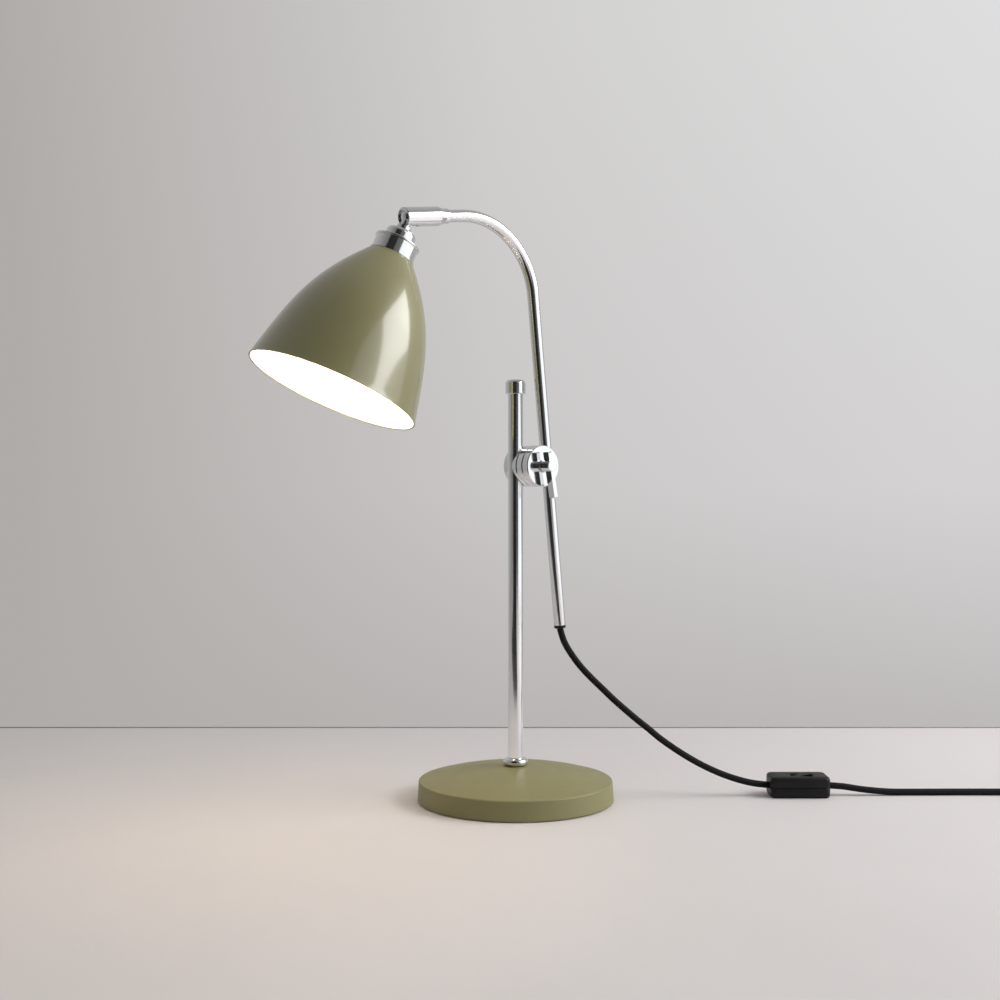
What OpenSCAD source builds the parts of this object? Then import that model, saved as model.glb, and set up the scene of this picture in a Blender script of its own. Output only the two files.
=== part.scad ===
// Swing arm desk lamp: a domed weighted base, a straight post, a two-part clamp
// that slides and turns on it, a bent tube arm and a spun metal shade on a ball knuckle.
// Millimetres. Origin at the centre of the base's underside, +Z up, post on the Z axis.
// The arm lies in a plane parallel to XZ, reaches towards -X and faces -Y.

/* [Base] */
// Diameter of the base at the table
base_d = 165; // [150:1:180]
// Height of the rim, where the skirt meets the dome
base_rim_h = 17.5; // [15:0.5:20]
// Height of the dome's crown
base_h = 29; // [26:0.5:33]
// Wall of the pressed steel base
base_wall = 1.5; // [1.2:0.1:2]
// Thickness of the felt under the base
felt_h = 1.6; // [1:0.1:2]

/* [Post] */
// Diameter of the post
post_d = 12.7; // [12:0.1:13]
// Height of the post's cap above the table
post_top = 353; // [345:1:380]
// Diameter of the cap on the post
cap_d = 17; // [15:0.5:20]
// Height of the cap
cap_h = 12.4; // [10:0.2:16]

/* [Clamp] */
// Height of the clamp's axis above the table
clamp_z = 280; // [250:1:295]
// Distance from the post's axis to the clamp's axis
clamp_x = 10.9; // [10.7:0.1:11.2]
// Diameter of the clamp drum
drum_d = 34.4; // [34:0.2:36]
// Length of the half that grips the post
rear_l = 16.7; // [16:0.1:17]
// Length of the half that grips the arm
front_l = 14.5; // [14:0.1:15]
// Diameter of the bolt along the clamp's axis
bolt_d = 6; // [5:0.5:6]
// Turn of the clamp lever from upright
lever_turn = 10.5; // [0:0.5:30]

/* [Arm] */
// Diameter of the arm tube
arm_d = 10; // [9.5:0.1:10.2]
// Lean of the arm's leg from upright
arm_lean = 6.1; // [0:0.1:10]
// Leg below the clamp's axis
leg_down = 136; // [120:1:150]
// Leg above the clamp's axis, up to the bend
leg_up = 141.6; // [120:0.2:160]
// Radius of the bend at the tube's middle
bend_r = 65; // [55:1:75]
// Fall of the arm's short run below level
run_droop = 8; // [0:0.5:15]
// Distance from the bend to the centre of the ball
ball_run = 52.8; // [48:0.2:60]

/* [Knuckle] */
// Diameter of the ball
ball_d = 12.5; // [12:0.1:12.6]
// Outer diameter of the socket
socket_d = 15.3; // [15.2:0.1:17]
// Roll of the socket about the arm
knuckle_roll = 6; // [-10:0.5:10]
// Swing of the shade's stem from square to the arm
stem_swing = 32; // [0:0.5:50]

/* [Shade] */
// Radius of the shade's open rim
shade_rim_r = 68; // [60:0.5:72]
// Radius of the shade's neck
shade_neck_r = 18.6; // [18.4:0.1:20]
// Distance from the ball to the shade's neck
shade_from = 35.7; // [35.6:0.1:37]
// Distance from the ball to the shade's rim
shade_to = 151; // [140:1:160]
// Wall of the shade
shade_wall = 1; // [0.8:0.1:1.4]
// Radius of the bulb's globe
globe_r = 22.5; // [20:0.5:24]

/* [Cord] */
// Diameter of the cord
cord_d = 5.5; // [5.5:0.1:5.5]
// Radius of the coil's outer turn at the cord's middle
coil_turn_r = 39.5; // [38:0.5:41]

/* [Switch] */
// Length of the in-line switch
switch_l = 50; // [49:0.5:54]
// Width of the in-line switch
switch_w = 27; // [26:0.5:29]
// Height of the in-line switch
switch_h = 17.4; // [16:0.2:19]

/* [Hidden] */

$fn = 96;
run_fit = 0.05;       // radial clearance of a shaft that turns or slides in its hole
olive = [0.47, 0.45, 0.33];
chrome = [0.78, 0.79, 0.8];
dark = [0.07, 0.07, 0.075];

base_r = base_d / 2;
rim_r = base_r - 1.2;
rim_fillet = 1.6;
stud_r = 4;
post_r = post_d / 2;
post_bore_r = post_r - 1.2;
post_from = base_h + 0.3;
weight_r = 74;
plate_h = 1.2;
plate_top = felt_h + plate_h;

drum_r = drum_d / 2;
rear_back = 8.5;                          // the drum's back face, behind the post's axis
rear_front = rear_back - rear_l;
front_from = rear_front - 0.4;
front_to = front_from - front_l;          // the drum's polished front face
arm_y = (front_from + front_to) / 2;
split_gap = 0.4;
sleeve_wall = 0.5;
bolt_r = bolt_d / 2;
lever_hub_r = 4.75;
lever_hub_l = 11;
lever_t = 3.6;

arm_r = arm_d / 2;
arm_bore_r = arm_r - 1;
arm_offset = 10.1;                        // from the clamp's axis to the leg's axis
bend_a = 90 + run_droop - arm_lean;
tube_in_socket = 22;                      // from the ball to the end of the tube
run_l = ball_run - tube_in_socket;
bush_h = 2.5;

ball_r = ball_d / 2;
socket_r = socket_d / 2;
socket_lip = 4;                           // the seat's end, in front of the ball's centre
socket_mouth = 5.4;                       // the socket's open end
seat_r = ball_r + 0.1;
neck_r = 4;
slot_w = 8.4;
stem_r = 5;
wire_r = 2.6;

cord_r = cord_d / 2;
cord_heading = -38.7;                     // the way the cord runs across the table, from +X
lane = [cos(cord_heading), sin(cord_heading), 0];
across = [-lane.y, lane.x, 0];
tie_t = 0.9;
coil_low = tie_t;
coil_pitch = 5.5;
coil_turns = 3;                           // turns in each of the two layers
coil_in_r = coil_turn_r - coil_pitch * coil_turns;
coil_pos = [419, -264, 0];
switch_pos = [198, -138, 0];              // the switch's middle, on the table
plug_lead = 22.5;                         // from the coil to the plug's strain relief
plug_z = 7.2;                             // height of the plug's middle

// The cord from the arm's lower end to the switch
hang_route = [
    [35.7, -15.8, 142.7], [38.5, -18, 131.5], [43.5, -22, 120.5], [50, -26.5, 110], [57, -32, 100.5],
    [64.5, -37.5, 91.5], [72, -43, 82.5], [79.5, -49, 74], [87.5, -55, 65.5], [95.5, -61, 57.5],
    [103, -67, 49.5], [111.5, -73, 42], [120, -79.5, 35], [129, -86, 28.5], [138.5, -93, 22.5],
    [148, -100, 17.5], [157.5, -107.5, 13.5], [167.5, -115, 10.5], [180.3, -124.2, 8.6]
];
// The cord from the switch to the coil
floor_route = [
    [215.6, -152, 8.6], [228, -162, 7.5], [238, -170, 5.5], [248, -178, 4], [259, -187, 3],
    [272, -197, 2.8], [287, -209, 2.8], [303, -221.5, 2.8], [320, -235, 2.8], [336, -248, 2.8],
    [352, -260.5, 2.8], [366, -272, 3], [380, -283.3, 3.4], [392, -292.9, 3.6]
];

function unit(v) = v / norm(v);
// Point on a cubic curve
function bezier(p, t) = pow(1 - t, 3) * p[0] + 3 * pow(1 - t, 2) * t * p[1]
    + 3 * (1 - t) * t * t * p[2] + t * t * t * p[3];
function arc(c, r, from, to, n) = [for (i = [0:n]) let(a = from + (to - from) * i / n)
    [c.x + r * cos(a), c.y + r * sin(a)]];
function reversed(list) = [for (i = [len(list) - 1:-1:0]) list[i]];
// The way a route runs at its point i
function heading(route, i) = unit(route[min(i + 1, len(route) - 1)] - route[max(i - 1, 0)]);
// Rings of points round a route, square to it
function rings(route, r, sides) = [for (i = [0:len(route) - 1])
    let(t = heading(route, i), u = unit(across - (across * t) * t), v = cross(t, u))
    for (k = [0:sides - 1]) route[i] + r * (cos(360 * k / sides) * u + sin(360 * k / sides) * v)];

module sweep(route, r, sides = 10) {
    last = (len(route) - 1) * sides;
    polyhedron(
        points = rings(route, r, sides),
        faces = concat(
            [[for (k = [sides - 1:-1:0]) k]],
            [[for (k = [0:sides - 1]) last + k]],
            [for (i = [0:len(route) - 2]) for (k = [0:sides - 1])
                let(a = i * sides + k, b = i * sides + (k + 1) % sides) [a, b, b + sides, a + sides]]),
        convexity = 6);
}

module lathe(outline) rotate_extrude() polygon(outline);
module tube(r_out, r_in, h) difference() {
    cylinder(h = h, r = r_out);
    translate([0, 0, -1]) cylinder(h = h + 2, r = r_in);
}
// Outline of a turned disc with rounded outer edges, from z0 to z1
function disc_outline(r_in, r_out, z0, z1, f) = concat(
    [[r_in, z0]], arc([r_out - f, z0 + f], f, -90, 0, 5), arc([r_out - f, z1 - f], f, 0, 90, 5),
    [[r_in, z1]]);

// Places children with Z along the arm's leg, at the clamp's height
module at_leg() translate([clamp_x, arm_y, clamp_z]) rotate([0, -arm_lean, 0])
    translate([arm_offset, 0, 0]) children();
// Places children at the end of the bend, with Z along the run
module at_run() at_leg() translate([-bend_r, 0, leg_up]) rotate([0, -bend_a, 0])
    translate([bend_r, 0, 0]) children();
// Places children at the ball, with X back along the arm and the slot facing -Z
module at_ball() at_run() translate([0, 0, ball_run]) rotate([0, 90, 0]) rotate([knuckle_roll, 0, 0])
    children();
// Places children at the ball, with Z out through the shade's opening
module at_stem() at_ball() rotate([0, stem_swing, 0]) rotate([180, 0, 0]) children();
// Places children with Z along the clamp's axis, from y towards the front
module on_clamp(y) translate([clamp_x, y, clamp_z]) rotate([90, 0, 0]) children();
// A rod that follows the arm's tube, from the leg's foot to the end of its run
module arm_rod(r, foot, run_end) {
    at_leg() translate([0, 0, -foot]) cylinder(h = foot + leg_up, r = r);
    at_leg() translate([-bend_r, 0, leg_up]) rotate([90, 0, 0])
        rotate_extrude(angle = bend_a) translate([bend_r, 0]) circle(r = r, $fn = 48);
    at_run() cylinder(h = run_end, r = r);
}
// Places children on the table at p, with X along the cord
module on_lane(p) translate(p) rotate([0, 0, cord_heading]) children();
module rounded_plate(l, w, r) offset(r = r, $fn = 32) square([l - 2 * r, w - 2 * r], center = true);

// ---- base ----
dome_rise = base_h - base_rim_h + 0.6;
dome_r = (pow(rim_r, 2) + pow(dome_rise, 2)) / (2 * dome_rise);
function dome_z(r, drop) = base_h - drop - dome_r + sqrt(pow(dome_r, 2) - pow(r, 2));
function dome(drop, from, to, n) = [for (i = [0:n])
    let(r = from + (to - from) * i / n) [r, dome_z(r, drop)]];

module base_shell() {
    edge_z = dome_z(rim_r - rim_fillet, 0) - rim_fillet;
    skirt_low = felt_h - 0.9;
    color(olive) lathe(concat(
        dome(0, stud_r + 0.4, rim_r - rim_fillet, 12),
        arc([rim_r - rim_fillet, edge_z], rim_fillet, 75, 0, 6),
        [[base_r - 0.3, skirt_low + 0.8], [base_r - 0.5, skirt_low], [base_r - base_wall, skirt_low],
         [rim_r - base_wall, edge_z]],
        reversed(dome(base_wall, stud_r + 0.4, rim_r - rim_fillet - 0.6, 8))));
}

module base_weight() color([0.25, 0.25, 0.26]) difference() {
    union() {
        translate([0, 0, plate_top]) cylinder(h = 11.2, r = weight_r);
        translate([0, 0, plate_top]) cylinder(h = dome_z(22, base_wall) - plate_top, r = 22);
    }
    translate([0, 0, -1]) cylinder(h = 40, r = stud_r + 0.4);
    translate([0, 0, plate_top - 1]) cylinder(h = 9.5, r = 11);
}

module base_plate() color([0.5, 0.5, 0.5]) translate([0, 0, felt_h]) tube(79.5, 12, plate_h);

module felt_pad() color([0.1, 0.11, 0.1]) cylinder(h = felt_h, r = 78.5);

module post_stud() color([0.7, 0.7, 0.66]) translate([0, 0, 3.2]) cylinder(h = 52, r = stud_r);

module post_plug() color([0.72, 0.66, 0.4]) translate([0, 0, post_from]) tube(post_bore_r, stud_r, 24);

module post_washer() color([0.7, 0.7, 0.66]) translate([0, 0, plate_top + 6.9]) tube(9, stud_r + 0.2, 1.6);

module post_nut() color([0.7, 0.7, 0.66]) difference() {
    translate([0, 0, plate_top + 0.4]) cylinder(h = 6.5, r = 7.5, $fn = 6);
    translate([0, 0, 2]) cylinder(h = 9, r = stud_r);
}

module post_collar() color(chrome)
    lathe(disc_outline(post_r, 10.4, base_h - 0.1, base_h + 6.4, 3));

module post_tube() color(chrome) translate([0, 0, post_from])
    tube(post_r, post_bore_r, post_top - 2 - post_from);

module post_cap() {
    low = post_top - cap_h;
    color(chrome) lathe(concat(
        [[post_r, low + 0.3], [post_r + 0.4, low], [cap_d / 2 - 0.4, low], [cap_d / 2, low + 0.4]],
        arc([cap_d / 2 - 3.4, post_top - 3.8], 3.4, 0, 78, 8),
        [[0, post_top], [0, post_top - 2], [post_r, post_top - 2]]));
}

// ---- clamp ----
module post_sleeve() color(chrome) translate([0, 0, clamp_z - 10])
    tube(post_r + run_fit + sleeve_wall, post_r + run_fit, 20);

// One length of the drum, from y towards the front, with eased edges
module drum(y, l) on_clamp(y) lathe(concat([[0, 0]], [[drum_r - 0.5, 0], [drum_r, 0.5]],
    [[drum_r, l - 0.5], [drum_r - 0.5, l], [0, l]]));

module rear_block() color(chrome) difference() {
    drum(rear_back, rear_l);
    translate([0, 0, clamp_z - 30]) cylinder(h = 60, r = post_r + 2 * run_fit + sleeve_wall);
    on_clamp(rear_back + 1) cylinder(h = rear_l + 2, r = bolt_r);
    on_clamp(rear_back + 1) cylinder(h = 4.4, r = 5.4);
}

module clamp_bolt() {
    head_l = 3.4;
    shank_to = front_to - lever_hub_l + 1.6;
    color([0.7, 0.7, 0.72]) difference() {
        union() {
            on_clamp(rear_back) cylinder(h = head_l, r = 5.2);
            on_clamp(rear_back) cylinder(h = rear_back - shank_to, r = bolt_r);
        }
        on_clamp(rear_back + 1) cylinder(h = 3.2, r = 2.9, $fn = 6);
    }
}

module friction_washer() color([0.35, 0.25, 0.18]) on_clamp(rear_front - 0.05) difference() {
    cylinder(h = 0.35, r = 16);
    translate([0, 0, -1]) cylinder(h = 3, r = bolt_r + run_fit);
}

// The holes that both halves of the arm's grip share
module grip_holes() {
    on_clamp(front_from + 1) cylinder(h = front_l + 2, r = bolt_r + run_fit);
    at_leg() translate([0, 0, -30]) cylinder(h = 60, r = arm_r + 2 * run_fit + sleeve_wall);
}

module front_block() color(chrome) difference() {
    drum(front_from, front_l / 2 - split_gap / 2);
    grip_holes();
}

module front_cap() color(chrome) difference() {
    drum(arm_y - split_gap / 2, front_l / 2 - split_gap / 2);
    grip_holes();
}

module arm_sleeve() color(chrome) at_leg() translate([0, 0, -10])
    tube(arm_r + run_fit + sleeve_wall, arm_r + run_fit, 20);

module lever_washer() color([0.7, 0.7, 0.72]) on_clamp(front_to - 0.1) difference() {
    cylinder(h = 0.6, r = 5.6);
    translate([0, 0, -1]) cylinder(h = 3, r = bolt_r + run_fit);
}

module clamp_lever() {
    hub_y = front_to - 0.8;
    bar_from = 4.2;     // the bar's inner side, in front of the drum's face
    bar_deep = 6.7;
    up = 11.8;
    down = 27;
    color(chrome) difference() {
        union() {
            on_clamp(hub_y) lathe(disc_outline(0, lever_hub_r, 0, lever_hub_l, 0.6));
            translate([clamp_x, front_to - bar_from - bar_deep, clamp_z]) rotate([0, -lever_turn, 0])
                translate([-lever_t / 2, 0, 0]) rotate([90, 0, 90]) linear_extrude(height = lever_t) polygon([
                    [0, 0.8 - down], [0, up - 0.8], [0.8, up], [bar_deep - 0.8, up],
                    [bar_deep, up - 0.8], [bar_deep, 0.8 - down], [bar_deep - 0.8, -down], [0.8, -down]]);
        }
        on_clamp(hub_y + 1) cylinder(h = lever_hub_l - 1, r = bolt_r + run_fit);
    }
}

// ---- arm ----
module arm_tube() color(chrome) difference() {
    arm_rod(arm_r, leg_down, run_l);
    arm_rod(arm_bore_r, leg_down + 1, run_l + 1);
}

module arm_bush() color(dark) at_leg() translate([0, 0, -leg_down]) difference() {
    union() {
        translate([0, 0, -bush_h]) cylinder(h = bush_h, r = arm_r - 0.1);
        cylinder(h = 8, r = arm_bore_r);
    }
    translate([0, 0, -bush_h - 1]) cylinder(h = 12, r = cord_r + 0.05);
}

module inner_flex() color(dark) arm_rod(cord_r, leg_down + bush_h, run_l - 2);

// ---- knuckle ----
module knuckle_socket() {
    tail = 37;
    body_to = 27;
    tail_r = 6;
    color(chrome) at_ball() difference() {
        rotate([0, 90, 0]) lathe(concat(
            [for (i = [0:6]) let(x = -socket_lip + socket_lip * i / 6)
                [sqrt(pow(seat_r, 2) - x * x), x]],
            [[seat_r, tube_in_socket], [arm_r + run_fit, tube_in_socket], [arm_r + run_fit, tail],
             [tail_r - 0.3, tail], [tail_r, tail - 0.4], [tail_r + 0.2, body_to + 5.5],
             [socket_r - 0.3, body_to + 0.6], [socket_r, body_to],
             [socket_r, -socket_mouth + 0.5], [socket_r - 0.5, -socket_mouth],
             [6.8, -socket_mouth], [6.8, -socket_lip]]));
        translate([-socket_mouth - 2, -slot_w / 2, -12]) cube([socket_mouth + 2 + 3.8, slot_w, 12]);
        translate([3.8, 0, -12]) cylinder(h = 12, r = slot_w / 2);
        translate([34, 0, 0]) rotate([-90, 0, 0]) cylinder(h = 10, r = 1.5);
    }
}

module set_screw() color([0.6, 0.6, 0.62]) at_ball() translate([34, arm_r + run_fit, 0])
    rotate([-90, 0, 0]) cylinder(h = 0.9, r = 1.5);

module pressure_pad() color([0.72, 0.66, 0.4]) at_ball() difference() {
    translate([4.6, 0, 0]) rotate([0, 90, 0]) cylinder(h = 4.4, r = seat_r - 0.15);
    sphere(r = seat_r);
    rotate([0, 90, 0]) cylinder(h = 12, r = wire_r);
}

module knuckle_spring() color([0.75, 0.75, 0.76]) at_ball() rotate([0, 90, 0])
    for (i = [0:5]) translate([0, 0, 9.9 + i * 2.15])
        rotate_extrude() translate([5, 0]) circle(r = 0.8, $fn = 24);

module ball_stem() color(chrome) at_stem() difference() {
    union() {
        sphere(r = ball_r);
        cylinder(h = 9, r = neck_r);
        lathe([[0, 8.6], [5.3, 8.6], [5.8, 9.1], [5.8, 13], [0, 13]]);
        translate([0, 0, 9]) cylinder(h = 24, r = stem_r);
    }
    cylinder(h = 40, r = 2.2);
    rotate([0, -90 + stem_swing, 0]) rotate([0, 180, 0]) cylinder(h = 10, r = 2.2);
}

module stem_clip() color([0.7, 0.7, 0.72]) at_stem() translate([0, 0, 26.6]) tube(8.2, stem_r, 3);

// ---- shade and its fitting ----
nut_r = 12;
flange_r = 18.2;
cup_r = 17.2;
cup_wall = 1;
lip_r = 18.3;
holder_r = 13.4;
ring_r = 16.9;
nut_from = 13.1;      // this and the next three are distances from the ball along the stem
flange_from = 22.4;
cup_from = 24;
holder_from = 25.2;
module stem_nut() color(chrome) at_stem() lathe(concat(
    [[stem_r + run_fit, flange_from], [stem_r + run_fit, nut_from]],
    reversed(arc([nut_r - 3.2, nut_from + 3.2], 3.2, 0, -90, 6)),
    [[nut_r, flange_from - 0.6], [nut_r - 0.4, flange_from]]));

module gallery_flange() color(chrome) at_stem()
    lathe(disc_outline(stem_r + run_fit, flange_r, flange_from, cup_from, 0.6));

module gallery_cup() color(chrome) at_stem() lathe([
    [stem_r + run_fit, cup_from], [cup_r - 0.2, cup_from], [cup_r, cup_from + 0.3],
    [cup_r, shade_from - 1.5], [lip_r, shade_from - 1.1], [lip_r, shade_from - 0.2],
    [lip_r - 0.3, shade_from], [cup_r - cup_wall, shade_from], [cup_r - cup_wall, holder_from],
    [stem_r + run_fit, holder_from]]);

module lamp_holder() color([0.12, 0.12, 0.12]) at_stem() difference() {
    union() {
        translate([0, 0, holder_from]) cylinder(h = 14, r = 14);
        translate([0, 0, holder_from]) cylinder(h = 36.8, r = holder_r);
    }
    translate([0, 0, cup_from]) cylinder(h = 10, r = 9);
    translate([0, 0, 40]) cylinder(h = 40, r = 7.4);
    translate([0, 0, cup_from]) cylinder(h = 40, r = 2);
}

module holder_contact() color([0.8, 0.66, 0.3]) at_stem() translate([0, 0, 40]) cylinder(h = 1.6, r = 4);

module shade_ring() color([0.12, 0.12, 0.12]) at_stem() translate([0, 0, shade_from + shade_wall])
    difference() {
        cylinder(h = 3.4, r = ring_r);
        translate([0, 0, -1]) cylinder(h = 6, r = 14);
    }

// The shade's outer side, from its neck to its rim, as radius and distance from the ball
shade_curve = [[shade_neck_r, shade_from + 0.4], [51, shade_to - 75.6], [56.2, shade_to - 53.3],
    [shade_rim_r - 0.3, shade_to - 0.7]];
function shade_side(inset, n) = [for (i = [0:n]) bezier(shade_curve, i / n) - [inset, 0]];

module shade() color(olive) at_stem() lathe(concat(
    [[14.1, shade_from], [shade_neck_r - 0.4, shade_from]],
    shade_side(0, 26),
    [[shade_rim_r, shade_to - 0.2], [shade_rim_r - 0.4, shade_to], [shade_rim_r - 1.1, shade_to],
     [shade_rim_r - 1.4, shade_to - 0.6]],
    reversed([for (p = shade_side(shade_wall + 0.3, 26)) if (p[1] > shade_from + 2.2) p]),
    [[shade_neck_r - 1.3, shade_from + shade_wall], [14.1, shade_from + shade_wall]]));

module bulb_cap() color([0.8, 0.8, 0.8]) at_stem()
    lathe([[0, 41.6], [3.5, 41.6], [6.9, 44], [6.9, 62], [0, 62]]);

module bulb_globe() {
    globe_z = 97;
    color([1, 0.97, 0.9]) at_stem() lathe(concat(
        [[0, 62], [9, 62], [9.6, 66]],
        arc([0, globe_z], globe_r, -54, 90, 24)));
}

// ---- cord, switch and plug ----
module cord_hang() color(dark) sweep(hang_route, cord_r);
module cord_floor() color(dark) sweep(floor_route, cord_r);

module cord_coil() {
    low = coil_low;
    high = coil_low + cord_d + coil_pitch;
    color(dark) translate(coil_pos) lathe(concat(
        arc([coil_in_r + 0.2, low + cord_r], cord_r, 180, 270, 4),
        arc([coil_turn_r, low + cord_r], cord_r, 270, 360, 4),
        arc([coil_turn_r, high - cord_r], cord_r, 0, 90, 4),
        arc([coil_in_r + 0.2, high - cord_r], cord_r, 90, 180, 4)));
}

module cord_tie() color([0.1, 0.1, 0.1]) on_lane(coil_pos) rotate([0, 0, 120]) {
    inner = coil_in_r - cord_r;
    outer = coil_turn_r + cord_r;
    high = coil_low + cord_d + coil_pitch;
    difference() {
        translate([inner - 1, -4, 0]) cube([outer - inner + 2, 8, high + tie_t]);
        translate([inner - 0.2, -5, tie_t]) cube([outer - inner + 0.4, 10, high - tie_t]);
    }
}

// The plug's own frame: X along the cord towards the pins
module at_plug() translate(coil_pos) rotate([0, 0, cord_heading])
    translate([coil_turn_r, plug_lead, plug_z]) rotate([0, 0, 90]) children();

// The cord between the coil and the plug's strain relief
module cord_tail() color(dark) at_plug() translate([-9, 0, 0]) rotate([0, 90, 0])
    cylinder(h = 9, r = cord_r, $fn = 24);

module plug_relief() color(dark) at_plug() difference() {
    rotate([0, 90, 0]) lathe([[0, 0], [cord_r + 0.6, 0], [cord_r + 2.2, 28], [0, 28]]);
    translate([-1, 0, 0]) rotate([0, 90, 0]) cylinder(h = 30, r = cord_r);
}

module plug_body() color(dark) at_plug() difference() {
    translate([28, 0, -plug_z]) linear_extrude(height = 2 * plug_z - 0.2) polygon(concat(
        [[0, -7], [14, -14]], arc([33, -12], 3, -90, 0, 4), arc([33, 12], 3, 0, 90, 4),
        [[14, 14], [0, 7]]));
    for (side = [-1, 1]) translate([54, side * 9.5, 0]) rotate([0, 90, 0]) cylinder(h = 20, r = 1.6);
}

module plug_pins() color(chrome) at_plug() for (side = [-1, 1]) translate([54, side * 9.5, 0])
    rotate([0, 90, 0]) lathe([[0, 0], [1.6, 0], [1.6, 10], [2, 10], [2, 28], [1.2, 29], [0, 29]]);

split_z = 8.6;        // where the switch's two shells meet
shell_wall = 1.6;
rocker_x = 3;         // the rocker's pivot, from the switch's middle
rocker_z = 14.2;
rocker_l = 17;
rocker_w = 9;

// One half of the switch's casing, from z0 to z1
module casing(z0, z1) translate([0, 0, z0]) linear_extrude(height = z1 - z0)
    rounded_plate(switch_l, switch_w, 4);

module cord_notches() for (end = [-1, 1]) translate([end * switch_l / 2, 0, split_z]) rotate([0, 90, 0])
    cylinder(h = 8, r = cord_r + 0.3, center = true);

module switch_lower_shell() color(dark) on_lane(switch_pos) difference() {
    union() {
        translate([0, 0, 1]) casing(0, split_z - 1.1);
        linear_extrude(height = 1) rounded_plate(switch_l - 1.6, switch_w - 1.6, 3.2);
    }
    translate([0, 0, shell_wall]) linear_extrude(height = 20)
        rounded_plate(switch_l - 2 * shell_wall, switch_w - 2 * shell_wall, 2.6);
    cord_notches();
    for (side = [-1, 1]) translate([side * 20, -side * 9.5, -1]) cylinder(h = 6, r = 1.6);
}

module switch_upper_shell() color(dark) on_lane(switch_pos) difference() {
    union() {
        casing(split_z + 0.1, switch_h - 1.2);
        translate([0, 0, switch_h - 1.2]) linear_extrude(height = 1.2)
            rounded_plate(switch_l - 1.8, switch_w - 1.8, 3.2);
    }
    linear_extrude(height = switch_h - shell_wall)
        rounded_plate(switch_l - 2 * shell_wall, switch_w - 2 * shell_wall, 2.6);
    translate([rocker_x - rocker_l / 2 - 0.4, -rocker_w / 2 - 0.4, 10])
        cube([rocker_l + 0.8, rocker_w + 0.8, 20]);
    cord_notches();
}

module switch_rocker() color(dark) on_lane(switch_pos) translate([rocker_x, 0, rocker_z]) difference() {
    rotate([90, 0, 0]) translate([0, 0, -rocker_w / 2]) linear_extrude(height = rocker_w)
        polygon([[-rocker_l / 2 + 0.6, 1.2], [-1, 3.4], [rocker_l / 2 - 1.5, 4.9], [rocker_l / 2 - 0.7, 3.6],
            [rocker_l / 2 - 1.1, -0.8], [2.6, -2.6], [-2.6, -2.6], [-rocker_l / 2 + 0.8, -0.9]]);
    rotate([90, 0, 0]) cylinder(h = 20, r = 1.25 + run_fit, center = true);
}

module rocker_pin() color([0.7, 0.7, 0.72]) on_lane(switch_pos) translate([rocker_x, 0, rocker_z])
    rotate([90, 0, 0]) cylinder(h = switch_w - 2 * shell_wall, r = 1.25, center = true);

module switch_contacts() color([0.8, 0.66, 0.3]) on_lane(switch_pos) for (side = [-1, 1])
    translate([side * 11 - 4 + rocker_x, -2.5, shell_wall]) cube([8, 5, 5]);

module switch_screws() color([0.7, 0.7, 0.72]) on_lane(switch_pos) for (side = [-1, 1])
    translate([side * 20, -side * 9.5, 0.4]) cylinder(h = 3.4, r = 1.6);

base_shell();
base_weight();
base_plate();
felt_pad();
post_stud();
post_plug();
post_washer();
post_nut();
post_collar();
post_tube();
post_cap();
post_sleeve();
rear_block();
clamp_bolt();
lever_washer();
clamp_lever();
friction_washer();
front_block();
front_cap();
arm_sleeve();
arm_tube();
arm_bush();
inner_flex();
knuckle_socket();
knuckle_spring();
pressure_pad();
set_screw();
ball_stem();
stem_clip();
stem_nut();
gallery_flange();
gallery_cup();
lamp_holder();
holder_contact();
shade_ring();
shade();
bulb_cap();
bulb_globe();
cord_hang();
switch_lower_shell();
switch_upper_shell();
switch_rocker();
rocker_pin();
switch_contacts();
switch_screws();
cord_floor();
cord_coil();
cord_tie();
cord_tail();
plug_relief();
plug_body();
plug_pins();
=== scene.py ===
import math

import bmesh
import bpy
from mathutils import Matrix, Vector


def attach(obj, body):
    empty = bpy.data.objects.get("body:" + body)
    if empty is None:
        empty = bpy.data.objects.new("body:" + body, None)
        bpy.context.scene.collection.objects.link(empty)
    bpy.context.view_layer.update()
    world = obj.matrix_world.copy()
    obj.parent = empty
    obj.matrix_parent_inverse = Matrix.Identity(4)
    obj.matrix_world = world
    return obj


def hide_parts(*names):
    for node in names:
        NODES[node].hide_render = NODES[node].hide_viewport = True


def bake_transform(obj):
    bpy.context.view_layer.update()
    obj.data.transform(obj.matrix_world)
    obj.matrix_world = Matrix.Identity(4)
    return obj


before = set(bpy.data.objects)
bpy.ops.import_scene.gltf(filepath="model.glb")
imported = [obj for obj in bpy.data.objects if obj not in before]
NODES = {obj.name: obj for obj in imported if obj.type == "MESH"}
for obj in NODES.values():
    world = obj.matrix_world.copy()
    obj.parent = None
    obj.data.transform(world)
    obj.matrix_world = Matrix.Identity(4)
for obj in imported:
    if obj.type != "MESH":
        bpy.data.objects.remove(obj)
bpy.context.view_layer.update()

CAMERA_TURN = -38.7  # degrees from looking along +Y
VIEW = Vector((0.6252, 0.7804, 0.0))  # the way the camera looks
SIDE = Vector((0.7804, -0.6252, 0.0))  # to the camera's right
UP = Vector((0.0, 0.0, 1.0))

CORD_D = 0.0055
CORD_SIDES = 20
LANE = SIDE  # the way the cord runs across the table
ACROSS = VIEW  # square to the lane, away from the camera
FLOOR_BEHIND = 0.344  # from the post back to the wall's foot
SWITCH = Vector((0.198, -0.138, 0.0))
COIL = Vector((0.419, -0.264, 0.0))
COIL_R = 0.0395
COIL_PITCH = 0.0055
COIL_TURNS = 3
COIL_LOW_Z = 0.00365
COIL_HIGH_Z = 0.00915
PLUG_Z = 0.0072
RELIEF_L = 0.028
PLUG_LEAD = 0.0225  # from the coil to the plug's strain relief

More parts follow.
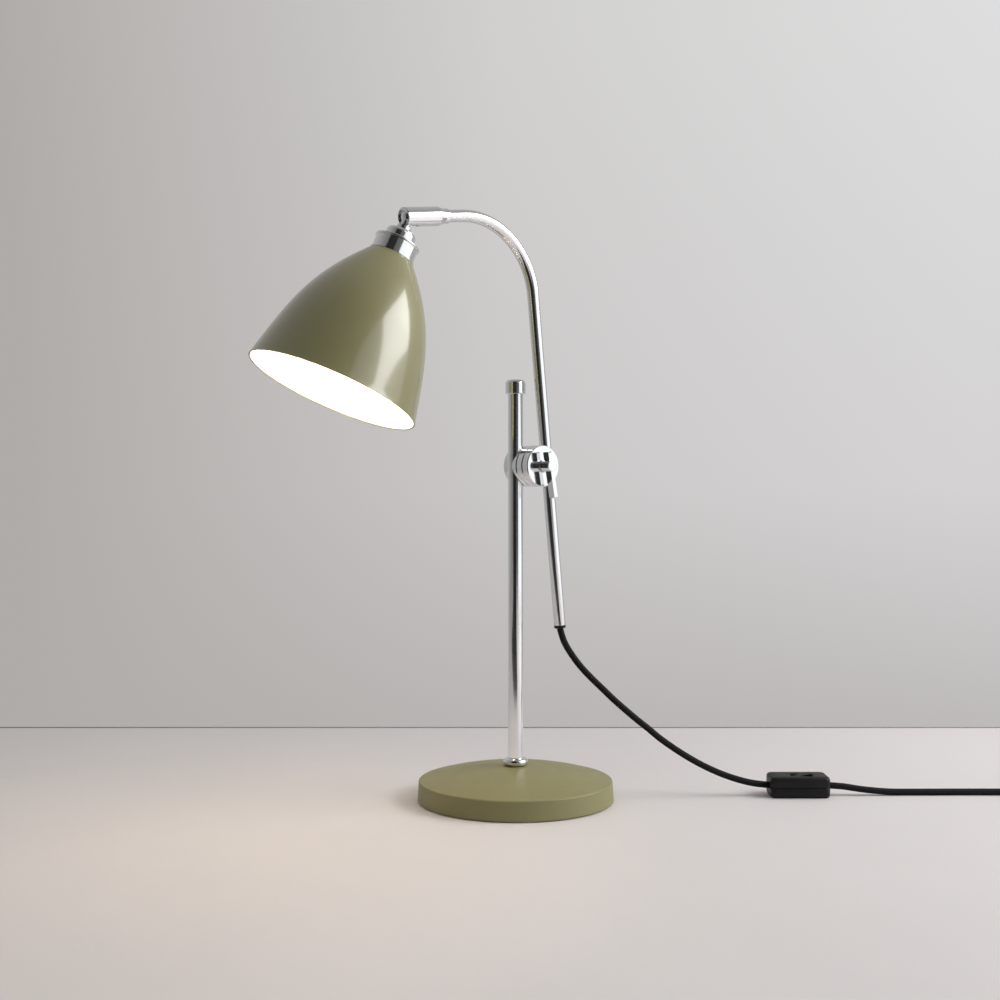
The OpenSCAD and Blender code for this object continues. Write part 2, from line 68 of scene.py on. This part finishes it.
HANG = [
    (0.0357, -0.0158, 0.1427),
    (0.0385, -0.018, 0.1315),
    (0.0435, -0.022, 0.1205),
    (0.05, -0.0265, 0.11),
    (0.057, -0.032, 0.1005),
    (0.0645, -0.0375, 0.0915),
    (0.072, -0.043, 0.0825),
    (0.0795, -0.049, 0.074),
    (0.0875, -0.055, 0.0655),
    (0.0955, -0.061, 0.0575),
    (0.103, -0.067, 0.0495),
    (0.1115, -0.073, 0.042),
    (0.12, -0.0795, 0.035),
    (0.129, -0.086, 0.0285),
    (0.1385, -0.093, 0.0225),
    (0.148, -0.1, 0.0175),
    (0.1575, -0.1075, 0.0135),
    (0.1675, -0.115, 0.0105),
    (0.1803, -0.1242, 0.0086),
]
FLOOR = [
    (0.2156, -0.152, 0.0086),
    (0.228, -0.162, 0.0075),
    (0.238, -0.17, 0.0055),
    (0.248, -0.178, 0.004),
    (0.259, -0.187, 0.003),
    (0.272, -0.197, 0.0028),
    (0.287, -0.209, 0.0028),
    (0.303, -0.2215, 0.0028),
    (0.32, -0.235, 0.0028),
    (0.336, -0.248, 0.0028),
    (0.352, -0.2605, 0.0028),
    (0.366, -0.272, 0.003),
    (0.38, -0.2833, 0.0034),
]
# The cord's stretches from the switch up: the bodies each one joins, and its ends on HANG
STRETCHES = [
    ("cord_slide", "stand", "slider", 18, 13),
    ("cord_swivel", "slider", "rear_clamp", 13, 8),
    ("cord_tilt", "rear_clamp", "front_clamp", 8, 4),
    ("cord_lift", "front_clamp", "arm_slider", 4, 0),
]

# The knuckle's ball, and the way the shade opens from it
BALL = Vector((-0.120069, -0.01585, 0.471983))
SHADE_AXIS = Vector((-0.407383, 0.088645, -0.908945))
# The shade's outer side as a cubic curve of (radius, distance from the ball)
SHADE_OUT = [(0.0186, 0.0361), (0.051, 0.0754), (0.0562, 0.0977), (0.0677, 0.1503)]


# ---- geometry helpers ----
def link(obj):
    """Puts an object in the scene and returns it."""
    bpy.context.scene.collection.objects.link(obj)
    return obj


def finish_mesh(bm, name, sharp=35.0):
    """Turns a bmesh into an object with smooth faces and sharp edges above an angle in degrees."""
    bmesh.ops.recalc_face_normals(bm, faces=bm.faces)
    for face in bm.faces:
        face.smooth = True
    for edge in bm.edges:
        if len(edge.link_faces) == 2:
            edge.smooth = edge.calc_face_angle(0.0) < math.radians(sharp)
    mesh = bpy.data.meshes.new(name)
    bm.to_mesh(mesh)
    bm.free()
    return link(bpy.data.objects.new(name, mesh))


def frame_along(origin, axis):
    """Matrix with its Z along an axis that isn't upright, at origin."""
    z = axis.normalized()
    x = UP.cross(z)
    x.normalize()
    y = z.cross(x)
    turn = Matrix((x, y, z)).transposed().to_4x4()
    return Matrix.Translation(origin) @ turn


def smooth_line(points, steps):
    """The points again on a smooth curve through them, with steps spans between each two."""
    pts = [Vector(p) for p in points]
    line = []
    for i in range(len(pts) - 1):
        before = pts[max(i - 1, 0)]
        a = pts[i]
        b = pts[i + 1]
        after = pts[min(i + 2, len(pts) - 1)]
        for k in range(steps):
            t = k / steps
            line.append(
                0.5
                * (
                    2 * a
                    + (b - before) * t
                    + (2 * before - 5 * a + 4 * b - after) * t * t
                    + (3 * a - before - 3 * b + after) * t * t * t
                )
            )
    line.append(pts[-1])
    return line


def length_of(line):
    """Length along a line of points."""
    return sum((b - a).length for a, b in zip(line, line[1:]))


def ring_frames(line):
    """A pair of directions square to the line at each of its points, carried along without twist."""
    frames = []
    u = None
    for i in range(len(line)):
        t = (line[min(i + 1, len(line) - 1)] - line[max(i - 1, 0)]).normalized()
        if u is None:
            u = ACROSS - ACROSS.dot(t) * t
        u = (u - u.dot(t) * t).normalized()
        frames.append((u.copy(), t.cross(u)))
    return frames


def tube_mesh(name, line, frames, radius, start=0.0):
    """An open tube along the line, with UVs: metres along it, and turns round it."""
    bm = bmesh.new()
    uv = bm.loops.layers.uv.new("uv")
    rings = []
    along = [start]
    for a, b in zip(line, line[1:]):
        along.append(along[-1] + (b - a).length)
    for p, (u, v) in zip(line, frames):
        ring = []
        for k in range(CORD_SIDES):
            a = 2 * math.pi * k / CORD_SIDES
            ring.append(bm.verts.new(p + radius * (math.cos(a) * u + math.sin(a) * v)))
        rings.append(ring)
    for i in range(len(rings) - 1):
        for k in range(CORD_SIDES):
            n = (k + 1) % CORD_SIDES
            face = bm.faces.new((rings[i][k], rings[i + 1][k], rings[i + 1][n], rings[i][n]))
            spots = (
                (along[i], k),
                (along[i + 1], k),
                (along[i + 1], k + 1),
                (along[i], k + 1),
            )
            for loop, (s, turn) in zip(face.loops, spots):
                loop[uv].uv = (s, turn / CORD_SIDES)
    return finish_mesh(bm, name, 80.0)


def lathe(name, outline, matrix, sides):
    """Turns a closed outline of (radius, height, material) about the matrix's Z."""
    bm = bmesh.new()
    rings = []
    for r, h, _ in outline:
        ring = []
        for k in range(sides):
            a = 2 * math.pi * k / sides
            ring.append(bm.verts.new(matrix @ Vector((r * math.cos(a), r * math.sin(a), h))))
        rings.append(ring)
    for i in range(len(rings)):
        one = rings[i]
        two = rings[(i + 1) % len(rings)]
        for k in range(sides):
            n = (k + 1) % sides
            face = bm.faces.new((one[k], one[n], two[n], two[k]))
            face.material_index = outline[i][2]
    return finish_mesh(bm, name)


def round_plate(length, width, radius, steps=6):
    """The corners-rounded outline of a plate, as (x, y)."""
    points = []
    radius = min(radius, length / 2 - 1e-5, width / 2 - 1e-5)
    for q in range(4):
        cx = (length / 2 - radius) * (1 if q in (0, 3) else -1)
        cy = (width / 2 - radius) * (1 if q in (0, 1) else -1)
        for k in range(steps + 1):
            a = math.pi / 2 * (q + k / steps)
            points.append((cx + radius * math.cos(a), cy + radius * math.sin(a)))
    return points


def loft(name, layers, matrix):
    """Skins a stack of (length, width, corner radius, height, shift along X) plates."""
    bm = bmesh.new()
    rings = []
    for length, width, radius, height, shift in layers:
        ring = []
        for x, y in round_plate(length, width, radius):
            ring.append(bm.verts.new(matrix @ Vector((x + shift, y, height))))
        rings.append(ring)
    for one, two in zip(rings, rings[1:]):
        for k in range(len(one)):
            n = (k + 1) % len(one)
            bm.faces.new((one[k], one[n], two[n], two[k]))
    bm.faces.new(list(reversed(rings[0])))
    bm.faces.new(rings[-1])
    return finish_mesh(bm, name, 50.0)


# ---- camera ----
def make_camera():
    data = bpy.data.cameras.new("camera")
    data.lens = 49.1
    data.sensor_width = 36.0
    data.shift_y = -0.01
    camera = link(bpy.data.objects.new("camera", data))
    camera.location = -1.146 * VIEW - 0.0131 * SIDE + 0.26 * UP
    camera.rotation_euler = (math.radians(90), 0, math.radians(CAMERA_TURN))
    bpy.context.scene.camera = camera


# ---- cord ----
def lay_hanging_cord():
    """The cord from the switch up to the arm, in stretches named for the joints they span."""
    steps = 5
    line = smooth_line(HANG, steps)
    frames = ring_frames(line)
    made = []
    for name, lower, upper, low, high in STRETCHES:
        a = min(low, high) * steps
        b = max(low, high) * steps
        part = line[a : b + 1]
        tube = tube_mesh(name, part, frames[a : b + 1], CORD_D / 2, length_of(line[: a + 1]))
        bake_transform(tube)
        made.append(tube)
    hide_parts("cord_hang")
    return made


def coil_line():
    """The coil's turns: in along the lower layer, out along the upper one, and off to the plug."""
    line = []
    per_turn = 24
    first = math.atan2(-ACROSS.y, -ACROSS.x)
    inner = COIL_R - COIL_PITCH * COIL_TURNS
    turns = 2 * COIL_TURNS + 0.25
    for i in range(int(turns * per_turn) + 1):
        t = i / per_turn
        if t <= COIL_TURNS:
            r = COIL_R - COIL_PITCH * t
        else:
            r = min(COIL_R, inner + COIL_PITCH * (t - COIL_TURNS))
        rise = min(1.0, max(0.0, (t - COIL_TURNS + 0.3) / 0.6))
        drop = min(1.0, max(0.0, (t - 2 * COIL_TURNS) / 0.25))
        z = COIL_LOW_Z + (COIL_HIGH_Z - COIL_LOW_Z) * rise * rise * (3 - 2 * rise)
        z -= (COIL_HIGH_Z - PLUG_Z) * 0.6 * drop * drop
        a = first + 2 * math.pi * t
        line.append(COIL + Vector((r * math.cos(a), r * math.sin(a), z)))
    end = COIL + COIL_R * LANE + PLUG_Z * UP
    middle = PLUG_LEAD + RELIEF_L / 2
    for reach in (0.007, 0.0145, PLUG_LEAD, middle, PLUG_LEAD + RELIEF_L):
        line.append(end + reach * ACROSS)
    return line


def lay_floor_cord():
    line = smooth_line(FLOOR, 3) + coil_line()
    cord = tube_mesh("cord_lead", line, ring_frames(line), CORD_D / 2)
    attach(cord, "stand")
    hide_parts("cord_floor", "cord_coil", "cord_tail")
    return cord, line


# ---- material helpers ----
def new_material(name):
    """A material with its node tree and its shader."""
    made = bpy.data.materials.new(name)
    made.use_nodes = True
    tree = made.node_tree
    return made, tree, tree.nodes["Principled BSDF"]


def where(tree, kind="Object"):
    """Texture coordinates of a kind."""
    return tree.nodes.new("ShaderNodeTexCoord").outputs[kind]


def noise(tree, scale, detail=4.0, stretch=(1.0, 1.0, 1.0)):
    """A noise value, fixed to the object."""
    place = tree.nodes.new("ShaderNodeMapping")
    place.inputs["Scale"].default_value = stretch
    tree.links.new(where(tree), place.inputs["Vector"])
    made = tree.nodes.new("ShaderNodeTexNoise")
    made.inputs["Scale"].default_value = scale
    made.inputs["Detail"].default_value = detail
    tree.links.new(place.outputs["Vector"], made.inputs["Vector"])
    return made.outputs["Fac"]


def ranged(tree, value, low, high, from_low=0.3, from_high=0.7):
    """A value carried from one range to another."""
    made = tree.nodes.new("ShaderNodeMapRange")
    made.inputs["From Min"].default_value = from_low
    made.inputs["From Max"].default_value = from_high
    made.inputs["To Min"].default_value = low
    made.inputs["To Max"].default_value = high
    tree.links.new(value, made.inputs["Value"])
    return made.outputs["Result"]


def vary_rough(tree, shader, scale, low, high):
    tree.links.new(ranged(tree, noise(tree, scale), low, high), shader.inputs["Roughness"])


def vary_colour(tree, shader, value, one, two):
    ramp = tree.nodes.new("ShaderNodeValToRGB")
    ramp.color_ramp.elements[0].position = 0.3
    ramp.color_ramp.elements[0].color = (*one, 1)
    ramp.color_ramp.elements[1].position = 0.7
    ramp.color_ramp.elements[1].color = (*two, 1)
    tree.links.new(value, ramp.inputs["Fac"])
    tree.links.new(ramp.outputs["Color"], shader.inputs["Base Color"])


def add_bump(tree, shader, value, depth, strength=1.0):
    bump = tree.nodes.new("ShaderNodeBump")
    bump.inputs["Strength"].default_value = strength
    bump.inputs["Distance"].default_value = depth
    tree.links.new(value, bump.inputs["Height"])
    tree.links.new(bump.outputs["Normal"], shader.inputs["Normal"])


# ---- materials ----
def olive_paint(name, low, high, coat):
    """The same green enamel, with roughness from low to high under a clear coat of some weight."""
    made, tree, shader = new_material(name)
    vary_colour(tree, shader, noise(tree, 14, 3), (0.232, 0.215, 0.094), (0.252, 0.233, 0.106))
    vary_rough(tree, shader, 60, low, high)
    add_bump(tree, shader, noise(tree, 900, 2), 0.00002, 0.25)
    shader.inputs["Coat Weight"].default_value = coat
    shader.inputs["Coat Roughness"].default_value = 0.12
    shader.inputs["Coat IOR"].default_value = 1.55
    return made


def white_enamel():
    made, tree, shader = new_material("finish_white_enamel")
    vary_colour(tree, shader, noise(tree, 20, 3), (0.8, 0.78, 0.74), (0.84, 0.82, 0.78))
    vary_rough(tree, shader, 80, 0.34, 0.42)
    add_bump(tree, shader, noise(tree, 800, 2), 0.00002, 0.3)
    return made


def chrome_plate():
    made, tree, shader = new_material("finish_chrome")
    shader.inputs["Metallic"].default_value = 1.0
    vary_colour(tree, shader, noise(tree, 30, 3), (0.83, 0.835, 0.84), (0.88, 0.885, 0.89))
    vary_rough(tree, shader, 70, 0.09, 0.13)
    add_bump(tree, shader, noise(tree, 240, 3), 0.000002, 0.1)
    return made


def zinc_steel():
    made, tree, shader = new_material("finish_zinc")
    shader.inputs["Metallic"].default_value = 1.0
    vary_colour(tree, shader, noise(tree, 120, 5), (0.5, 0.51, 0.5), (0.66, 0.67, 0.68))
    vary_rough(tree, shader, 200, 0.28, 0.45)
    add_bump(tree, shader, noise(tree, 900, 3), 0.00003, 0.4)
    return made


def cast_iron():
    made, tree, shader = new_material("finish_cast_iron")
    shader.inputs["Metallic"].default_value = 0.4
    vary_colour(tree, shader, noise(tree, 90, 6), (0.035, 0.035, 0.037), (0.075, 0.072, 0.07))
    vary_rough(tree, shader, 150, 0.6, 0.85)
    add_bump(tree, shader, noise(tree, 500, 6), 0.0003, 0.8)
    return made


def felt():
    made, tree, shader = new_material("finish_felt")
    vary_colour(tree, shader, noise(tree, 700, 6), (0.012, 0.014, 0.012), (0.03, 0.034, 0.03))
    vary_rough(tree, shader, 300, 0.92, 1.0)
    add_bump(tree, shader, noise(tree, 1600, 6), 0.0003, 0.9)
    shader.inputs["Sheen Weight"].default_value = 0.5
    return made


def brass():
    made, tree, shader = new_material("finish_brass")
    shader.inputs["Metallic"].default_value = 1.0
    vary_colour(tree, shader, noise(tree, 110, 5), (0.55, 0.4, 0.16), (0.68, 0.52, 0.24))
    vary_rough(tree, shader, 160, 0.22, 0.38)
    add_bump(tree, shader, noise(tree, 700, 3), 0.00003, 0.3)
    return made


def nickel():
    made, tree, shader = new_material("finish_nickel")
    shader.inputs["Metallic"].default_value = 1.0
    vary_colour(tree, shader, noise(tree, 90, 4), (0.58, 0.54, 0.47), (0.68, 0.65, 0.58))
    vary_rough(tree, shader, 140, 0.16, 0.3)
    add_bump(tree, shader, noise(tree, 600, 3), 0.00002, 0.25)
    return made


def black_plastic():
    made, tree, shader = new_material("finish_black_plastic")
    vary_colour(tree, shader, noise(tree, 60, 4), (0.0065, 0.0065, 0.007), (0.011, 0.011, 0.012))
    vary_rough(tree, shader, 120, 0.4, 0.52)
    add_bump(tree, shader, noise(tree, 1400, 4), 0.00006, 0.5)
    shader.inputs["Specular IOR Level"].default_value = 0.25
    return made


def fibre():
    made, tree, shader = new_material("finish_fibre")
    grain = noise(tree, 260, 6, (1.0, 6.0, 1.0))
    vary_colour(tree, shader, grain, (0.05, 0.028, 0.016), (0.1, 0.06, 0.035))
    vary_rough(tree, shader, 200, 0.7, 0.85)
    add_bump(tree, shader, grain, 0.00008, 0.6)
    return made


def opal_glass():
    made, tree, shader = new_material("finish_opal_glass")
    vary_colour(tree, shader, noise(tree, 60, 3), (0.88, 0.86, 0.8), (0.92, 0.9, 0.86))
    vary_rough(tree, shader, 80, 0.25, 0.35)
    glow = tree.nodes.new("ShaderNodeValToRGB")
    glow.color_ramp.elements[0].position = 0.3
    glow.color_ramp.elements[0].color = (1.0, 0.78, 0.53, 1)
    glow.color_ramp.elements[1].position = 0.7
    glow.color_ramp.elements[1].color = (1.0, 0.8, 0.56, 1)
    tree.links.new(noise(tree, 40, 2), glow.inputs["Fac"])
    tree.links.new(glow.outputs["Color"], shader.inputs["Emission Color"])
    shader.inputs["Emission Strength"].default_value = 34.0
    return made


def cord_sheath():
    """A woven black sleeve: two sets of slanting threads that cross, with painted shade where they
    sink.
    """
    made, tree, shader = new_material("finish_cord_sheath")
    threads = []
    for slant in (5.0, -5.0):
        place = tree.nodes.new("ShaderNodeMapping")
        place.inputs["Scale"].default_value = (700.0, slant, 1.0)
        tree.links.new(where(tree, "UV"), place.inputs["Vector"])
        split = tree.nodes.new("ShaderNodeSeparateXYZ")
        tree.links.new(place.outputs["Vector"], split.inputs["Vector"])
        add = tree.nodes.new("ShaderNodeMath")
        tree.links.new(split.outputs["X"], add.inputs[0])
        tree.links.new(split.outputs["Y"], add.inputs[1])
        turn = tree.nodes.new("ShaderNodeMath")
        turn.operation = "MULTIPLY"
        turn.inputs[1].default_value = 2 * math.pi
        tree.links.new(add.outputs[0], turn.inputs[0])
        wave = tree.nodes.new("ShaderNodeMath")
        wave.operation = "SINE"
        tree.links.new(turn.outputs[0], wave.inputs[0])
        threads.append(wave.outputs[0])
    weave = tree.nodes.new("ShaderNodeMath")
    weave.operation = "MULTIPLY"
    tree.links.new(threads[0], weave.inputs[0])
    tree.links.new(threads[1], weave.inputs[1])
    height = ranged(tree, weave.outputs[0], 0.0, 1.0, -1.0, 1.0)
    # The colour is darker where the weave is low: painted shade between the threads.
    vary_colour(tree, shader, height, (0.0035, 0.0035, 0.004), (0.011, 0.011, 0.012))
    vary_rough(tree, shader, 300, 0.62, 0.78)
    add_bump(tree, shader, height, 0.00012, 0.7)
    shader.inputs["Specular IOR Level"].default_value = 0.2
    return made


def floor_paper():
    made, tree, shader = new_material("stage_floor")
    vary_colour(tree, shader, noise(tree, 3, 3), (0.66, 0.628, 0.62), (0.685, 0.653, 0.645))
    vary_rough(tree, shader, 40, 0.62, 0.7)
    return made


def wall_foot_shade_paint():
    # Dark grey for the strip at the wall's foot: painted shade where wall and table meet.
    made, tree, shader = new_material("stage_wall_foot_shade")
    vary_colour(tree, shader, noise(tree, 3, 3), (0.3, 0.29, 0.285), (0.34, 0.33, 0.325))
    vary_rough(tree, shader, 40, 0.8, 0.9)
    return made


def flag_cloth():
    made, tree, shader = new_material("stage_flag")
    vary_colour(tree, shader, noise(tree, 4, 2), (0.01, 0.01, 0.01), (0.02, 0.02, 0.02))
    vary_rough(tree, shader, 10, 0.9, 1.0)
    return made


def make_finishes():
    return {
        "olive_paint": olive_paint("finish_olive_base", 0.42, 0.5, 0.0),
        "olive_gloss": olive_paint("finish_olive_shade", 0.3, 0.38, 0.9),
        "chrome_plate": chrome_plate(),
        "zinc_steel": zinc_steel(),
        "cast_iron": cast_iron(),
        "felt": felt(),
        "brass": brass(),
        "nickel_brass": nickel(),
        "black_plastic": black_plastic(),
        "fibre": fibre(),
        "opal_glass": opal_glass(),
        "black_cord": cord_sheath(),
        "white": white_enamel(),
    }


def finish_cad_nodes(finishes):
    for node in NODES.values():
        for spot in node.material_slots:
            name = spot.material.name
            spot.material = finishes.get(name, finishes["olive_paint"])


# ---- pieces ----
def bezier(points, t):
    """A point on a cubic curve of four points."""
    s = 1 - t
    mix = (s * s * s, 3 * s * s * t, 3 * s * t * t, t * t * t)
    return [sum(m * p[i] for m, p in zip(mix, points)) for i in range(2)]


def make_shade(finishes):
    """The spun shade: olive outside, white inside, with a rolled bead at the rim."""
    olive = 0
    white = 1
    wall = 0.0013
    count = 44
    side = [bezier(SHADE_OUT, i / count) for i in range(count + 1)]
    outline = [(0.0141, 0.0357, olive), (0.0178, 0.0357, olive), (0.0183, 0.0358, olive)]
    outline += [(r, h, olive) for r, h in side]
    bead_r = 0.0009
    bead_at = (0.0672, 0.1503)
    for i in range(1, 8):
        a = math.radians(20 + i * 20)
        paint = olive if i < 6 else white
        outline.append(
            (bead_at[0] + bead_r * math.cos(a), bead_at[1] + bead_r * math.sin(a), paint)
        )
    for r, h in reversed(side):
        if 0.038 < h < 0.1495:
            outline.append((r - wall, h, white))
    outline += [(0.0173, 0.0368, white), (0.0141, 0.0368, white)]
    shade = lathe("shade_skin", outline, frame_along(BALL, SHADE_AXIS), 144)
    shade.data.materials.append(finishes["olive_gloss"])
    shade.data.materials.append(finishes["white"])
    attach(shade, "shade")
    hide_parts("shade")
    return shade


def on_lane(place):
    """Matrix with its X along the cord's way across the table."""
    turn = Matrix((LANE, ACROSS, UP)).transposed().to_4x4()
    return Matrix.Translation(place) @ turn


def make_switch(finishes):
    """The in-line switch's two moulded shells, with a seam between them and a rocker's opening."""
    at = on_lane(SWITCH)
    low = [
        (0.046, 0.023, 0.0026, 0.0, 0.0),
        (0.0486, 0.0256, 0.0036, 0.0006, 0.0),
        (0.05, 0.027, 0.004, 0.0022, 0.0),
        (0.05, 0.027, 0.004, 0.0078, 0.0),
        (0.0492, 0.0262, 0.0036, 0.0084, 0.0),
        (0.0486, 0.0256, 0.0034, 0.0086, 0.0),
    ]
    high = [
        (0.0486, 0.0256, 0.0034, 0.0086, 0.0),
        (0.0492, 0.0262, 0.0036, 0.0088, 0.0),
        (0.05, 0.027, 0.004, 0.0094, 0.0),
        (0.05, 0.027, 0.004, 0.0148, 0.0),
        (0.0496, 0.0266, 0.0042, 0.016, 0.0),
        (0.0486, 0.0256, 0.0042, 0.0169, 0.0),
        (0.047, 0.024, 0.004, 0.0174, 0.0),
        (0.0196, 0.0116, 0.001, 0.0174, 0.003),
        (0.0192, 0.0112, 0.0009, 0.0171, 0.003),
        (0.0178, 0.0098, 0.0006, 0.0163, 0.003),
        (0.0178, 0.0098, 0.0006, 0.012, 0.003),
    ]
    lower = loft("switch_base_shell", low, at)
    upper = loft("switch_top_shell", high, at)
    for piece, node in ((lower, "switch_lower_shell"), (upper, "switch_upper_shell")):
        piece.data.materials.append(finishes["black_plastic"])
        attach(piece, "stand")
        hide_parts(node)
    return [lower, upper]


def make_relief(finishes):
    """The plug's tapered strain relief, with grooves round it."""
    start = COIL + COIL_R * LANE + PLUG_LEAD * ACROSS + PLUG_Z * UP
    ribs = 7
    outline = [(CORD_D / 2, 0.0, 0)]
    for i in range(ribs):
        base = RELIEF_L * i / ribs
        r = CORD_D / 2 + 0.0006 + 0.0016 * i / ribs
        outline += [
            (r - 0.0004, base + 0.0001, 0),
            (r, base + 0.0004, 0),
            (r + 0.0001, base + 0.0026, 0),
            (r - 0.0003, base + 0.003, 0),
            (r - 0.0005, base + 0.0038, 0),
        ]
    outline += [(CORD_D / 2 + 0.002, RELIEF_L, 0), (CORD_D / 2, RELIEF_L, 0)]
    relief = lathe("plug_relief_ribbed", outline, frame_along(start, ACROSS), 40)
    relief.data.materials.append(finishes["black_plastic"])
    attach(relief, "stand")
    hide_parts("plug_relief")
    return relief


# ---- stage ----
def make_floor():
    """A pale table top that ends at the wall's foot behind the lamp, in a thin dark strip of painted
    shade where the wall meets it.
    """
    bm = bmesh.new()
    far = FLOOR_BEHIND
    shade_line_height = 0.0011
    table = [(-3, -3, 0), (3, -3, 0), (3, far, 0), (-3, far, 0)]
    # A thin upright strip along the wall's foot, painted dark as the shade where wall and table
    # meet.
    line = [(-3, far, 0), (3, far, 0), (3, far, shade_line_height), (-3, far, shade_line_height)]
    for paint, sheet in enumerate((table, line)):
        corners = []
        for across, along, up in sheet:
            corners.append(bm.verts.new(across * SIDE + along * VIEW + up * UP))
        bm.faces.new(corners).material_index = paint
    floor = finish_mesh(bm, "stage_table")
    floor.data.materials.append(floor_paper())
    floor.data.materials.append(wall_foot_shade_paint())


def make_flag():
    """Dark cloth behind the camera and over the near end of the table, which only the gloss sees."""
    left = -1.15
    right = 0.3
    back = -1.6
    front = -0.52
    bm = bmesh.new()
    standing = ((left, back, 0.004), (right, back, 0.004), (right, back, 1.9), (left, back, 1.9))
    lying = ((left, back, 0.004), (right, back, 0.004), (right, front, 0.004), (left, front, 0.004))
    for cloth in (standing, lying):
        corners = []
        for across, along, up in cloth:
            corners.append(bm.verts.new(across * SIDE + along * VIEW + up * UP))
        bm.faces.new(corners)
    flag = finish_mesh(bm, "stage_flag")
    flag.data.materials.append(flag_cloth())
    flag.visible_camera = False
    flag.visible_diffuse = False
    flag.visible_shadow = False


def area_light(name, place, target, width, height, power, colour):
    data = bpy.data.lights.new(name, "AREA")
    data.shape = "RECTANGLE"
    data.size = width
    data.size_y = height
    data.energy = power
    data.color = colour
    lamp = link(bpy.data.objects.new(name, data))
    lamp.location = place
    lamp.rotation_euler = (target - place).to_track_quat("-Z", "Y").to_euler()
    lamp.visible_camera = False
    return lamp


def make_lights():
    """A broad window of light from the right, a dim one round it, and a soft top light."""
    middle = Vector((0, 0, 0.3))
    key = 1.42 * SIDE - 0.12 * VIEW + 1.1 * UP
    area_light("key", key, middle, 1.2, 0.85, 19, (1.0, 0.99, 0.98))
    wide = 1.7 * SIDE - 0.5 * VIEW + 0.75 * UP
    area_light("wide", wide, middle, 2.4, 2.0, 14, (0.94, 0.97, 1.0))
    top = 0.3 * SIDE + 0.2 * VIEW + 2.3 * UP
    soft = area_light("top", top, middle, 2.4, 2.4, 11, (1.0, 0.99, 0.98))
    soft.visible_glossy = False


def sky_ramp(tree, way, low, high, stops):
    """Colours across the sky along a direction, from low to high along it."""
    spot = tree.nodes.new("ShaderNodeTexCoord")
    dot = tree.nodes.new("ShaderNodeVectorMath")
    dot.operation = "DOT_PRODUCT"
    dot.inputs[1].default_value = way
    tree.links.new(spot.outputs["Generated"], dot.inputs[0])
    ramp = tree.nodes.new("ShaderNodeValToRGB")
    while len(ramp.color_ramp.elements) < len(stops):
        ramp.color_ramp.elements.new(0.5)
    for element, (place, colour) in zip(ramp.color_ramp.elements, stops):
        element.position = place
        element.color = (*colour, 1)
    reach = ranged(tree, dot.outputs["Value"], 0.0, 1.0, low, high)
    tree.links.new(reach, ramp.inputs["Fac"])
    return ramp.outputs["Color"]


def mixed(tree, factor, one, two):
    """Two colours mixed by a factor; each may be a socket or a colour."""
    mix = tree.nodes.new("ShaderNodeMix")
    mix.data_type = "RGBA"
    tree.links.new(factor, mix.inputs["Factor"])
    sides = [s for s in mix.inputs if s.type == "RGBA"]
    for side, colour in zip(sides, (one, two)):
        if isinstance(colour, tuple):
            side.default_value = (*colour, 1)
        else:
            tree.links.new(colour, side)
    return [s for s in mix.outputs if s.type == "RGBA"][0]


def make_world():
    """Soft grey light, dim in front and brighter behind, and a pale wall behind the lamp with
    painted light across it.
    """
    world = bpy.data.worlds.new("studio")
    bpy.context.scene.world = world
    world.use_nodes = True
    tree = world.node_tree
    back = tree.nodes["Background"]
    depth = [(0.0, (0.09, 0.09, 0.09)), (0.5, (0.33, 0.33, 0.33)), (1.0, (0.5, 0.49, 0.49))]
    high = [(0.0, (0.5, 0.485, 0.48)), (0.35, (0.66, 0.645, 0.65)), (1.0, (0.73, 0.73, 0.73))]
    step = [(0.0, (0.0, 0.0, 0.0)), (0.5, (0.68, 0.68, 0.68)), (1.0, (1.0, 1.0, 1.0))]
    around = sky_ramp(tree, VIEW, -1.0, 1.0, depth)
    right = sky_ramp(tree, UP, -0.17, 0.32, high)
    # The wall the camera sees is darker at the left and, to the right, brighter higher up: painted
    # light falling across the wall.
    across = sky_ramp(tree, SIDE, -0.33, 0.33, step)
    wall = mixed(tree, across, (0.432, 0.41, 0.395), right)
    seen = tree.nodes.new("ShaderNodeLightPath").outputs["Is Camera Ray"]
    tree.links.new(mixed(tree, seen, around, wall), back.inputs["Color"])


bpy.context.scene.view_settings.view_transform = "Standard"
make_camera()
hanging = lay_hanging_cord()
lead, lead_line = lay_floor_cord()
finishes = make_finishes()
finish_cad_nodes(finishes)
for piece in hanging + [lead]:
    piece.data.materials.append(finishes["black_cord"])
make_shade(finishes)
switch_shells = make_switch(finishes)
relief = make_relief(finishes)
make_floor()
make_flag()
make_lights()
make_world()
